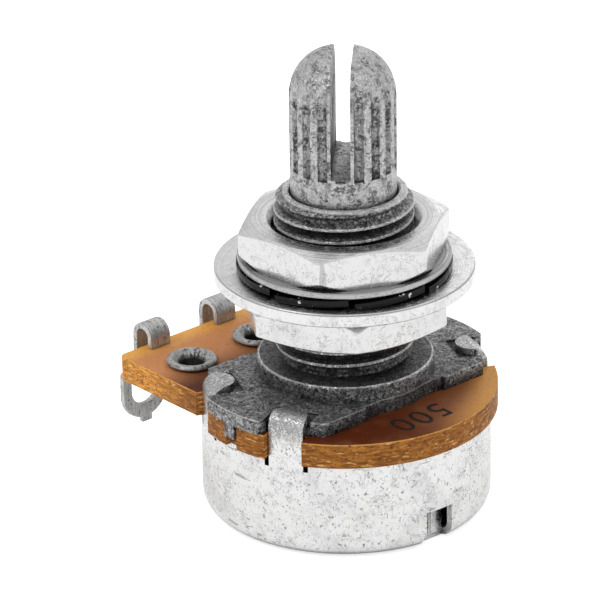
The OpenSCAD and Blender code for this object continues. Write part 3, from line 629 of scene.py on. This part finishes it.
class PotentiometerSizes(bpy.types.PropertyGroup):
    """Sizes that a user would change."""

    thread_pitch: size_in_mm("Thread pitch", THREAD_PITCH, 0.5, 1.25,
                             "Distance between the thread's turns")
    thread_r: size_in_mm("Thread radius", THREAD_R, 3.7, 3.95, "Outer radius of the thread")
    thread_depth: size_in_mm("Thread depth", THREAD_DEPTH, 0.2, 0.5,
                             "Thread's height from root to crest")
    soft_edge: size_in_mm("Edge radius", 0.06, 0.02, 0.15,
                          "Rounding of the plate's cast edges")
    creases: IntProperty(name="Creases", default=26, min=8, max=40,
                         description="Number of creases round each eyelet's hole")
    digits: StringProperty(name="Digits", default="500",
                           description="Plain digits printed on the board")


class PotentiometerColours(bpy.types.PropertyGroup):
    """Main colours of the finishes."""

    plating: FloatVectorProperty(name="Plating", subtype="COLOR", size=3, min=0, max=1,
                                 default=(0.72, 0.725, 0.72),
                                 description="Bright plating of the can and the nuts")
    dull_plating: FloatVectorProperty(name="Dull plating", subtype="COLOR", size=3, min=0,
                                      max=1, default=(0.42, 0.42, 0.42),
                                      description="Plating of the thin washer")


class PotentiometerStage(bpy.types.PropertyGroup):
    """Camera lens and floor shadow."""

    lens: FloatProperty(name="Focal length", default=313.5446, min=50, max=1000,
                        subtype="DISTANCE_CAMERA", unit="CAMERA",
                        description="Focal length of the camera on a 36 mm frame")
    shadow: BoolProperty(name="Floor shadow", default=True,
                         description="Let the floor show the part's soft shadow")


def sizes():
    """The scene's sizes."""
    return bpy.context.scene.potentiometer_sizes


def colours():
    """The scene's colours."""
    return bpy.context.scene.potentiometer_colours


def thread_surface(radius, depth, pitch, low, high, inner):
    """Closed sleeve with a helical thread on its outside.

    On the outside, theta runs round and s runs up across the turns. The point lies at
    z = pitch * (s + theta / 2 pi) and r = radius - depth * groove(s), where groove is a
    trapezium wave. Towards both ends the crests drop and the grooves grow shallow, by a
    share u that goes from 0 to 1 along the neck and the lead. Both ends turn in to inner.
    """
    steps, count, crest, flank, fade = 120, 14, 0.16, 0.6, 0.45
    theta = np.linspace(0, TURN, steps + 1)[:, None]
    turns = int((high - low) / pitch) + 4
    s = (np.arange(turns * count) / count - 2)[None, :]
    wave = np.abs((s % 1.0) * 2 - 1)
    groove = np.clip((wave - crest) / flank, 0, 1)
    z = low + pitch * (s + theta / TURN)
    u = np.maximum(np.clip((low + NECK - z) / NECK, 0, 1),
                   np.clip((z - high + LEAD) / LEAD, 0, 1))
    r = radius - CREST_DROP * u - depth * (1 - fade * u) * groove
    r = r - END_CHAMFER * np.clip((z - high + END_CHAMFER) / END_CHAMFER, 0, 1)
    r = np.where((z < low) | (z > high), inner, r)
    z = np.clip(z, low, high)
    bottom = np.full((steps + 1, 1), inner)
    r = np.concatenate([bottom, r, bottom], 1)
    z = np.concatenate([0 * bottom + low, z, 0 * bottom + high], 1)
    return surface("thread", polar(r, theta, z), close_u=False, close_v=True)


def pull_in(mesh, core_r, thread_r):
    """Draws the solid's plain rings in to the core, where the helical sleeve covers them.

    Points of the bushing's outside, at a radius r over the core's, come to (x, y) core_r / r.
    """
    co = rows(mesh.vertices, "co") / MM
    r = np.hypot(co[:, 0], co[:, 1])
    on_wall = (r > core_r) & (co[:, 2] > BOSS_TOP + 0.01)
    on_foot = (r > core_r) & (r < thread_r + 0.2) & (co[:, 2] > BOSS_TOP - 0.05)
    co[:, :2] *= np.where(on_wall | on_foot, core_r / np.maximum(r, 1e-6), 1.0)[:, None]
    mesh.vertices.foreach_set("co", (co * MM).ravel())
    tidy_mesh(mesh, 1e-6)


class MESH_OT_potentiometer_plate(bpy.types.Operator):
    """Cast plate with its boss, and the bushing with a true helical thread"""

    bl_idname = "mesh.potentiometer_plate"
    bl_label = "Plate and bushing"

    def execute(self, context):
        radius, depth, pitch, soft = (getattr(sizes(), key) / MM for key in (
            "thread_r", "thread_depth", "thread_pitch", "soft_edge"))
        core_r = radius - depth - ROOT_ROOM
        base = softened("mounting_plate", soft)
        pull_in(base, core_r, radius)
        thread = thread_surface(radius, depth, pitch, BOSS_TOP - 0.02, BUSHING_TOP,
                                core_r - 0.05)
        whole = joined("mounting_plate_cast", [base, thread])
        thing = piece("mounting_plate_cast", whole, cast_zinc(), "frame", 35, True)
        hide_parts("mounting_plate")
        return {"FINISHED"}


def nut_mesh(turn, low, inner_up):
    """Hexagon nut as one closed surface.

    Round the axis the outer radius is R = half / cos(phi), with half the distance of a flat
    and phi the angle from its middle. Near each edge R follows a circle of radius q
    instead, whose middle is c = 2 (half - q) / sqrt(3) out: R = c cos(t) + sqrt(q^2 -
    c^2 sin^2(t)), with t the angle from the edge. The face towards the washers ends in a
    steep chamfer cone that only meets the edges, the other face in a shallow one.
    """
    side = np.radians(30) * np.sin(np.linspace(-1, 1, 33)[:-1] * math.pi / 2)
    phi = np.tile(side, 6)
    theta = phi + np.repeat(np.radians(np.arange(6) * 60 + 30), 32) + math.radians(turn)
    half, q, one = NUT_FLATS / 2, NUT_CORNER, np.ones_like(phi)
    c = 2 * (half - q) / math.sqrt(3)
    t = math.radians(30) - np.abs(phi)
    circle = c * np.cos(t) + np.sqrt(np.maximum(q ** 2 - (c * np.sin(t)) ** 2, 0))
    reach = np.where(c * np.sin(t) < q * 0.5, circle, half / np.cos(phi))
    outer_r, inner_r, sliver = half - 0.15, np.minimum(half + 0.18, reach), 0.002
    outer_drop = (reach - outer_r) * math.tan(SHALLOW_CHAMFER)
    inner_drop = (reach - inner_r) * math.tan(STEEP_CHAMFER) + sliver
    mouth, bore, height = (NUT_BORE + NUT_LEAD) * one, NUT_BORE * one, NUT_HEIGHT * one
    r = np.stack([mouth, outer_r * one, reach, reach, inner_r - sliver, mouth, bore, bore], -1)
    z = np.stack([0 * one, 0 * one, outer_drop, height - inner_drop, height, height,
                  height - NUT_LEAD, NUT_LEAD * one], -1)
    if not inner_up:
        r, z = r[:, ::-1], NUT_HEIGHT - z[:, ::-1]
    section = rounded(np.stack([r, z], -1), 0.08, 4)
    points = polar(section[..., 0], theta[:, None], section[..., 1] + low)
    return surface("nut", points, close_v=True)


class MESH_OT_potentiometer_nuts(bpy.types.Operator):
    """Two plated hexagon nuts with chamfered, slightly worn corners"""

    bl_idname = "mesh.potentiometer_nuts"
    bl_label = "Nuts"

    def execute(self, context):
        for node, turn, low, seed in (("lower_nut", LOWER_NUT_TURN, LOWER_NUT_Z, 0.0),
                                      ("top_nut", TOP_NUT_TURN, TOP_NUT_Z, 1.3)):
            finish = plated_sheet(f"Plating of the {node.replace('_', ' ')}",
                                  shade(colours().plating, 0.94), rough=0.2, dull=0.78,
                                  specks=0.08, seed=seed, turned=0.2)
            thing = piece(f"{node}_plated", nut_mesh(turn, low, node == "lower_nut"), finish,
                          node, 25)
            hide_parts(node)
        return {"FINISHED"}


def ring_mesh(name, radii, low, high, edge, steps, shift=(0, 0, 0)):
    """Flat ring between two radii and two levels, with rounded edges, moved by the shift."""
    inner, outer = radii
    box = np.array([[inner, low], [outer, low], [outer, high], [inner, high]], float)
    r, z = rounded(box, edge, 4).T
    theta = np.linspace(0, TURN, steps, endpoint=False)[:, None]
    return surface(name, polar(r, theta, z) + np.array(shift), close_v=True)


def tooth_points(angle, tilt):
    """One broad tooth: a band along an arc of the washer, tilted about its own radius.

    With a the angle from the tooth's middle, the band's middle line is
    (r cos a, r sin a, r sin a tan(tilt)), and its normal is (0, -sin(tilt), cos(tilt)).
    """
    a = np.linspace(-TOOTH_HALF, TOOTH_HALF, 15)
    path = TOOTH_R * np.stack([np.cos(a), np.sin(a), np.sin(a) * math.tan(tilt)], -1)
    normal = (0, -math.sin(tilt), math.cos(tilt))
    spin = np.array(Matrix.Rotation(angle, 3, "Z"))
    return strip(path, normal, TOOTH_W, TOOTH_T, 0.04) @ spin.T


class MESH_OT_potentiometer_washers(bpy.types.Operator):
    """Wide, toothed and thin washers between the nuts"""

    bl_idname = "mesh.potentiometer_washers"
    bl_label = "Washers"

    def execute(self, context):
        shift = np.array([math.cos(WIDE_HEADING), math.sin(WIDE_HEADING), 0]) * WIDE_SHIFT
        wide = ring_mesh("wide", WIDE_RING, WIDE_Z, LOCK_Z, 0.12, 160, shift)
        finish = plated_sheet("Plating of the wide washer", colours().plating, dull=0.8,
                              rough=0.26, specks=0.35, seed=2.0, turned=0.15,
                              rim_line=LOCK_Z - 0.07)
        thing = piece("wide_washer_plated", wide, finish, "washers")
        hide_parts("wide_washer")

        thin = ring_mesh("thin", THIN_RING, THIN_Z, TOP_NUT_Z, 0.08, 144)
        finish = plated_sheet("Plating of the thin washer", colours().dull_plating, dull=0.8,
                              rough=0.2, specks=0.3, seed=3.0, turned=0.5)
        thing = piece("thin_washer_plated", thin, finish, "thin_washer")
        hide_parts("thin_washer")

        middle, half = (LOCK_Z + THIN_Z) / 2, TOOTH_T / 2
        rise = (THIN_Z - LOCK_Z - TOOTH_T) / 2
        tilt = math.asin(rise / TOOTH_END / math.sin(TOOTH_HALF))
        meshes = [ring_mesh("ring", TOOTHED_RING, middle - half, middle + half, 0.08, 120)]
        for k in range(TEETH):
            tooth = tooth_points(FIRST_TOOTH + (k + 0.5) * TURN / TEETH, tilt)
            meshes.append(surface("tooth", tooth + np.array([0, 0, middle])))
        thing = piece("toothed_washer_black", joined("toothed_washer_black", meshes),
                      black_oxide(), "washers")
        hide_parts("toothed_washer")
        return {"FINISHED"}


def eyelet_mesh(x, creases, seed):
    """Tubular rivet with a flared head, creased by the riveting tool.

    The profile (r, z) is carried round the rivet's axis: up the outside from the swaged
    foot under the lug, over the flared head, and down through the dish into the hole. Near
    the hole the head dips and opens along creases, the dips of
    |sin(n theta / 2 + wander)|^0.4.
    """
    top, foot = BOARD_TOP, CAN_RIM - LUG_T
    profile = rounded(np.array([
        [HOLE_R, foot - 0.25], [TUBE_R + 0.1, foot - 0.25], [TUBE_R + 0.3, foot - 0.02],
        [TUBE_R, foot - 0.02], [TUBE_R, top + 0.02], [HEAD_R - 0.15, top + 0.02],
        [HEAD_R, top + 0.14], [HEAD_R - 0.02, top + 0.29], [HEAD_R - 0.16, top + 0.4],
        [HEAD_R - 0.3, top + 0.39], [TUBE_R + 0.12, top + 0.3], [HOLE_R + 0.1, top + 0.2],
        [HOLE_R + 0.02, top], [HOLE_R, top - 0.4]]), 0.07, 4)
    theta = np.linspace(0, TURN, 208, endpoint=False)[:, None]
    r, z = profile[None, :, 0], profile[None, :, 1]
    near = np.exp(-((r - HOLE_R - 0.12) / 0.24) ** 2) * (z > top)
    wander = 0.5 * np.sin(2 * theta + seed) + 0.3 * np.sin(5 * theta + 2 * seed)
    crease = np.abs(np.sin(creases / 2 * theta + wander + seed)) ** 0.4
    deep = 0.6 + 0.4 * np.sin(3 * theta + seed)
    z = z - near * (1 - crease) * 0.13 * deep
    r = r + near * (1 - crease) * 0.07 * deep + near * 0.03 * np.sin(4 * theta + 3 * seed)
    r = np.minimum(r, HEAD_R)
    points = polar(r, theta, z) + np.array([x, EYELET_Y, 0])
    return surface("eyelet", points, close_v=True)


def hook_path():
    """Path of the hook in y and z: out under the board, up, over in an arch, down to its face."""
    level, mid = CAN_RIM - LUG_T / 2 - 0.01, LOOP_Y - LUG_T / 2
    bend, radius, top = LUG_BEND, HOOK_R - LUG_T / 2, BOARD_TOP + HOOK_TOP - HOOK_R
    run = np.linspace((EYELET_Y + 0.8, level), (mid - bend - 0.1, level), 6)
    turn = arc((mid - bend, level + bend), -90, 0, bend, 7)
    rise = np.linspace((mid, level + bend + 0.1), (mid, top - 0.1), 6)
    over = arc((mid - radius, top), 0, 180, radius, 17)
    inner = mid - 2 * radius
    fall = np.array([[inner, top - 0.2], [inner, BOARD_TOP + 0.02]])
    return np.concatenate([run, turn, rise, over, fall])


def loop_path():
    """Middle line of the hanging loop, from one rail's root under the board to the other's.

    Each rail runs out under the board, bends down through a quarter turn and hangs. The
    two meet in a half circle, along which the strip widens by a third towards its foot.
    Returns points, normals and widths.
    """
    bend, out_y, level = LUG_BEND, LOOP_Y - LUG_T / 2, CAN_RIM - LUG_T / 2
    turn = arc((out_y - bend, level - bend), 90, 0, bend, 7)
    rail = np.concatenate([[[TONGUE_Y - 0.55, level]], turn,
                           [[out_y, level - bend - 0.3]]])
    lean = np.radians(np.concatenate([[90], np.linspace(90, 0, 7), [0]]))
    rail_n = np.stack([0 * lean, np.cos(lean), np.sin(lean)], -1)
    side = LOOP_HALF - RAIL_W / 2
    left = np.column_stack([np.full(len(rail), -side), rail])
    ring = np.radians(np.linspace(180, 360, 29))
    low = np.stack([side * np.cos(ring), np.full(29, out_y),
                    CAN_RIM - LOOP_DROP + LOOP_HALF + 0.11 + side * np.sin(ring)], -1)
    low_n = np.tile([0.0, 1.0, 0.0], (29, 1))
    right = left[::-1] * np.array([-1, 1, 1])
    straight = np.full(len(rail), RAIL_W)
    width = np.concatenate([straight, RAIL_W - 0.22 * np.sin(ring), straight])
    return (np.concatenate([left, low, right]),
            np.concatenate([rail_n, low_n, rail_n[::-1]]), width)


def terminal_mesh(x):
    """One terminal: pad and strip under the board, hook over its edge and hanging loop."""
    level, out_y, root_y = CAN_RIM - LUG_T / 2 - 0.01, LOOP_Y - LUG_T / 2, TONGUE_Y - 0.6
    hook = hook_path()
    points = np.column_stack([np.full(len(hook), 0.15), hook])
    slope = np.gradient(hook, axis=0)
    normal = np.stack([0 * slope[:, 0], slope[:, 1], -slope[:, 0]], -1)
    bar = np.linspace((-1.6, root_y, level), (1.6, root_y, level), 6)
    nib = np.linspace((0.1, out_y, NIB_TOP), (0.1, out_y, NIB_FOOT), 6)
    strips = {"hook": strip(points, normal, HOOK_W, LUG_T),
              "loop": strip(*loop_path(), LUG_T),
              "bar": strip(bar, (0, 0, 1), BAR_W, LUG_T - 0.02),
              "nib": strip(nib, (0, 1, 0), NIB_W, LUG_T - 0.04, 0.04)}
    meshes = [surface(name, grid) for name, grid in strips.items()]
    meshes.append(ring_mesh("pad", PAD_RING, CAN_RIM - LUG_T, CAN_RIM - 0.02, 0.05, 64,
                            (0, EYELET_Y, 0)))
    whole = joined("terminal", meshes)
    whole.transform(Matrix.Translation((x * MM, 0, 0)))
    return whole


class MESH_OT_potentiometer_terminals(bpy.types.Operator):
    """Three tinned terminals and the creased eyelets that hold them"""

    bl_idname = "mesh.potentiometer_terminals"
    bl_label = "Terminals and eyelets"

    def execute(self, context):
        tin = tinned_sheet("Tinned sheet", (0.66, 0.66, 0.655), 0.4)
        eyelet_tin = tinned_sheet("Tinned eyelet", (0.5, 0.5, 0.49), 0.42, 1.3, True)
        for k, place in enumerate(("left", "middle", "right")):
            x = (k - 1) * PITCH_OF_LUGS
            thing = piece(f"terminal_{place}_tinned", terminal_mesh(x), tin, "frame")
            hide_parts(f"terminal_{place}")
            rivet = piece(f"eyelet_{place}_creased",
                          eyelet_mesh(x, sizes().creases, 0.7 + 1.9 * k), eyelet_tin, "frame",
                          50)
            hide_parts(f"eyelet_{place}")
        return {"FINISHED"}


class MESH_OT_potentiometer_can(bpy.types.Operator):
    """Plated can with its folded tabs, with softened sheet edges"""

    bl_idname = "mesh.potentiometer_can"
    bl_label = "Can"

    def execute(self, context):
        finish = plated_sheet("Plating of the can", colours().plating, seed=4.0,
                              worked_above=TAB_FOOT)
        thing = piece("rear_cover_plated", softened("rear_cover", SHEET_SOFT), finish,
                      "frame", 35, True)
        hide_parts("rear_cover")
        return {"FINISHED"}


class MESH_OT_potentiometer_board(bpy.types.Operator):
    """Laminate board and the plain digits printed on it"""

    bl_idname = "mesh.potentiometer_board"
    bl_label = "Board"

    def execute(self, context):
        thing = piece("resistor_board_punched", softened("resistor_board", SHEET_SOFT),
                      laminate(), "frame", 35, True)
        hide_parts("resistor_board")
        curve = bpy.data.curves.new("digits", "FONT")
        curve.body = sizes().digits
        curve.align_x = curve.align_y = "CENTER"
        curve.size, curve.space_character = DIGIT_H * MM, DIGIT_GAP
        curve.extrude, curve.resolution_u = DIGIT_T * MM, 4
        printed = evaluated(bpy.data.objects.new("digits", curve))
        place = (DIGIT_X * MM, DIGIT_Y * MM, (BOARD_TOP + 0.004) * MM)
        printed.transform(Matrix.Translation(place) @ Matrix.Rotation(math.pi, 4, "Z"))
        stamp = piece("board_digits", printed, ink(), "frame", 35)
        return {"FINISHED"}


class MESH_OT_potentiometer_shaft(bpy.types.Operator):
    """Splined, slotted shaft with softened edges"""

    bl_idname = "mesh.potentiometer_shaft"
    bl_label = "Shaft"

    def execute(self, context):
        thing = piece("shaft_rolled", softened("shaft", SHAFT_SOFT), shaft_metal(), "shaft",
                      35, True)
        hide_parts("shaft")
        return {"FINISHED"}


class MESH_OT_potentiometer_inside(bpy.types.Operator):
    """Finishes of the solids inside the can, which keep their own shapes"""

    bl_idname = "mesh.potentiometer_inside"
    bl_label = "Inner pieces"

    def execute(self, context):
        looks = {"resistive_track": ((0.05, 0.045, 0.04), 0.0, 0.5),
                 "collector_ring": ((0.7, 0.69, 0.66), 0.9, 0.35),
                 "retaining_clip": ((0.2, 0.21, 0.23), 0.9, 0.35),
                 "thrust_washer": ((0.5, 0.5, 0.49), 1.0, 0.3),
                 "rotor": ((0.68, 0.64, 0.53), 0.0, 0.45),
                 "wiper_contact": ((0.72, 0.52, 0.28), 1.0, 0.3)}
        for node, (tone, metallic, rough) in looks.items():
            finish = plain_finish(node.replace("_", " ").capitalize(), tone, metallic, rough)
            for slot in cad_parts[node].material_slots:
                slot.material = finish
        return {"FINISHED"}


def soft_box(name, place, aim, width, height, watts):
    """Rectangular soft light at a place, turned to a height on the part's axis, in metres."""
    lamp = bpy.data.lights.new(name, "AREA")
    lamp.shape = "RECTANGLE"
    lamp.size, lamp.size_y, lamp.energy = width, height, watts
    thing = bpy.data.objects.new(name, lamp)
    thing.matrix_world = looking(np.array(place), np.array([0, 0, aim]))
    bpy.context.scene.collection.objects.link(thing)


def looking(eye, aim, roll=0.0):
    """Matrix at the eye whose -Z points at the aim and whose Y is upright, then rolled."""
    back = (eye - aim) / np.linalg.norm(eye - aim)
    right = np.cross([0, 0, 1], back)
    right /= np.linalg.norm(right)
    up = np.cross(back, right)
    right, up = (right * math.cos(roll) + up * math.sin(roll),
                 up * math.cos(roll) - right * math.sin(roll))
    matrix = np.eye(4)
    matrix[:3, 0], matrix[:3, 1], matrix[:3, 2], matrix[:3, 3] = right, up, back, eye
    return Matrix(matrix.tolist())


class SCENE_OT_potentiometer_stage(bpy.types.Operator):
    """White floor, soft lights and the camera at the photograph's angle"""

    bl_idname = "scene.potentiometer_stage"
    bl_label = "Stage"

    def execute(self, context):
        scene = context.scene
        stage = scene.potentiometer_stage
        eye = np.array(CAMERA_EYE)
        pitch, heading, roll = CAMERA_ANGLES
        ahead = np.array([math.cos(pitch) * math.cos(heading),
                          math.cos(pitch) * math.sin(heading), -math.sin(pitch)])
        camera = bpy.data.objects.new("Camera", bpy.data.cameras.new("Camera"))
        camera.data.lens, camera.data.sensor_width = stage.lens, SENSOR_W
        camera.matrix_world = looking(eye, eye + ahead, roll)
        scene.collection.objects.link(camera)
        scene.camera = camera

        y, x = np.meshgrid(*[[-FLOOR_HALF, FLOOR_HALF]] * 2, indexing="ij")
        floor = surface("floor", np.stack([x, y, 0 * x + FLOOR_Z], -1), close_u=False,
                        flip=True)
        ground = bpy.data.objects.new("Floor", floor)
        floor.materials.append(floor_paper(stage.shadow))
        scene.collection.objects.link(ground)

        scene.world = studio()
        for light in LIGHTS:
            soft_box(*light)
        scene.view_settings.view_transform = "Standard"
        return {"FINISHED"}


def floor_paper(shadow):
    """White paper: diffuse, with a little glow that only the camera and reflections see."""
    f = Finish("Floor paper", Base_Color=(FLOOR_TONE,) * 3 + (1.0,), Roughness=0.9,
               Emission_Color=(1, 1, 1, 1))
    camera, glossy = (f.node("ShaderNodeLightPath", out=f"Is {ray} Ray")
                      for ray in ("Camera", "Glossy"))
    glow = camera * (FLOOR_GLOW if shadow else 1.0) + glossy * GLOSS_GLOW
    f.feed(f.shader.inputs["Emission Strength"], glow)
    return f.material


def studio():
    """World that is white to the camera, and a grey studio, paler overhead, to the part.

    With z the rise of a direction, the grey goes in a straight line from the horizon's to
    the one overhead as z / OVERHEAD_Z goes from 0 to 1.
    """
    world = bpy.data.worlds.new("Studio")
    world.use_nodes = True
    sky = Nodes(world.node_tree)
    where = sky.node("ShaderNodeTexCoord", out="Generated")
    rise = sky.node("ShaderNodeSeparateXYZ", {}, {"Vector": where}, out="Z") / OVERHEAD_Z
    grey = rise.most(0.0).least(1.0) * (OVERHEAD - HORIZON) + HORIZON
    camera = sky.node("ShaderNodeLightPath", out="Is Camera Ray")
    back = sky.tree.nodes["Background"]
    sky.feed(back.inputs["Color"], camera + (1 - camera) * grey)
    return world


GROUPS = (("potentiometer_sizes", PotentiometerSizes),
          ("potentiometer_colours", PotentiometerColours),
          ("potentiometer_stage", PotentiometerStage))
OPERATORS = (MESH_OT_potentiometer_can, MESH_OT_potentiometer_board,
             MESH_OT_potentiometer_terminals, MESH_OT_potentiometer_plate,
             MESH_OT_potentiometer_shaft, MESH_OT_potentiometer_nuts,
             MESH_OT_potentiometer_washers, MESH_OT_potentiometer_inside,
             SCENE_OT_potentiometer_stage)


class VIEW3D_PT_potentiometer(bpy.types.Panel):
    """Sidebar panel that lists the settings and the pieces"""

    bl_label = "Potentiometer"
    bl_space_type = "VIEW_3D"
    bl_region_type = "UI"
    bl_category = "Potentiometer"

    def draw(self, context):
        for name, group in GROUPS:
            settings = getattr(context.scene, name)
            for prop in group.__annotations__:
                self.layout.prop(settings, prop)
        for operator in OPERATORS:
            self.layout.operator(operator.bl_idname)


def register():
    for name, group in GROUPS:
        bpy.utils.register_class(group)
        setattr(bpy.types.Scene, name, PointerProperty(type=group))
    for item in OPERATORS + (VIEW3D_PT_potentiometer,):
        bpy.utils.register_class(item)


def unregister():
    for item in (VIEW3D_PT_potentiometer,) + OPERATORS[::-1]:
        bpy.utils.unregister_class(item)
    for name, group in GROUPS[::-1]:
        delattr(bpy.types.Scene, name)
        bpy.utils.unregister_class(group)


def main():
    """Builds every piece and the stage."""
    register()
    for operator in OPERATORS:
        area, action = operator.bl_idname.split(".")
        getattr(getattr(bpy.ops, area), action)()


if __name__ == "__main__":
    main()
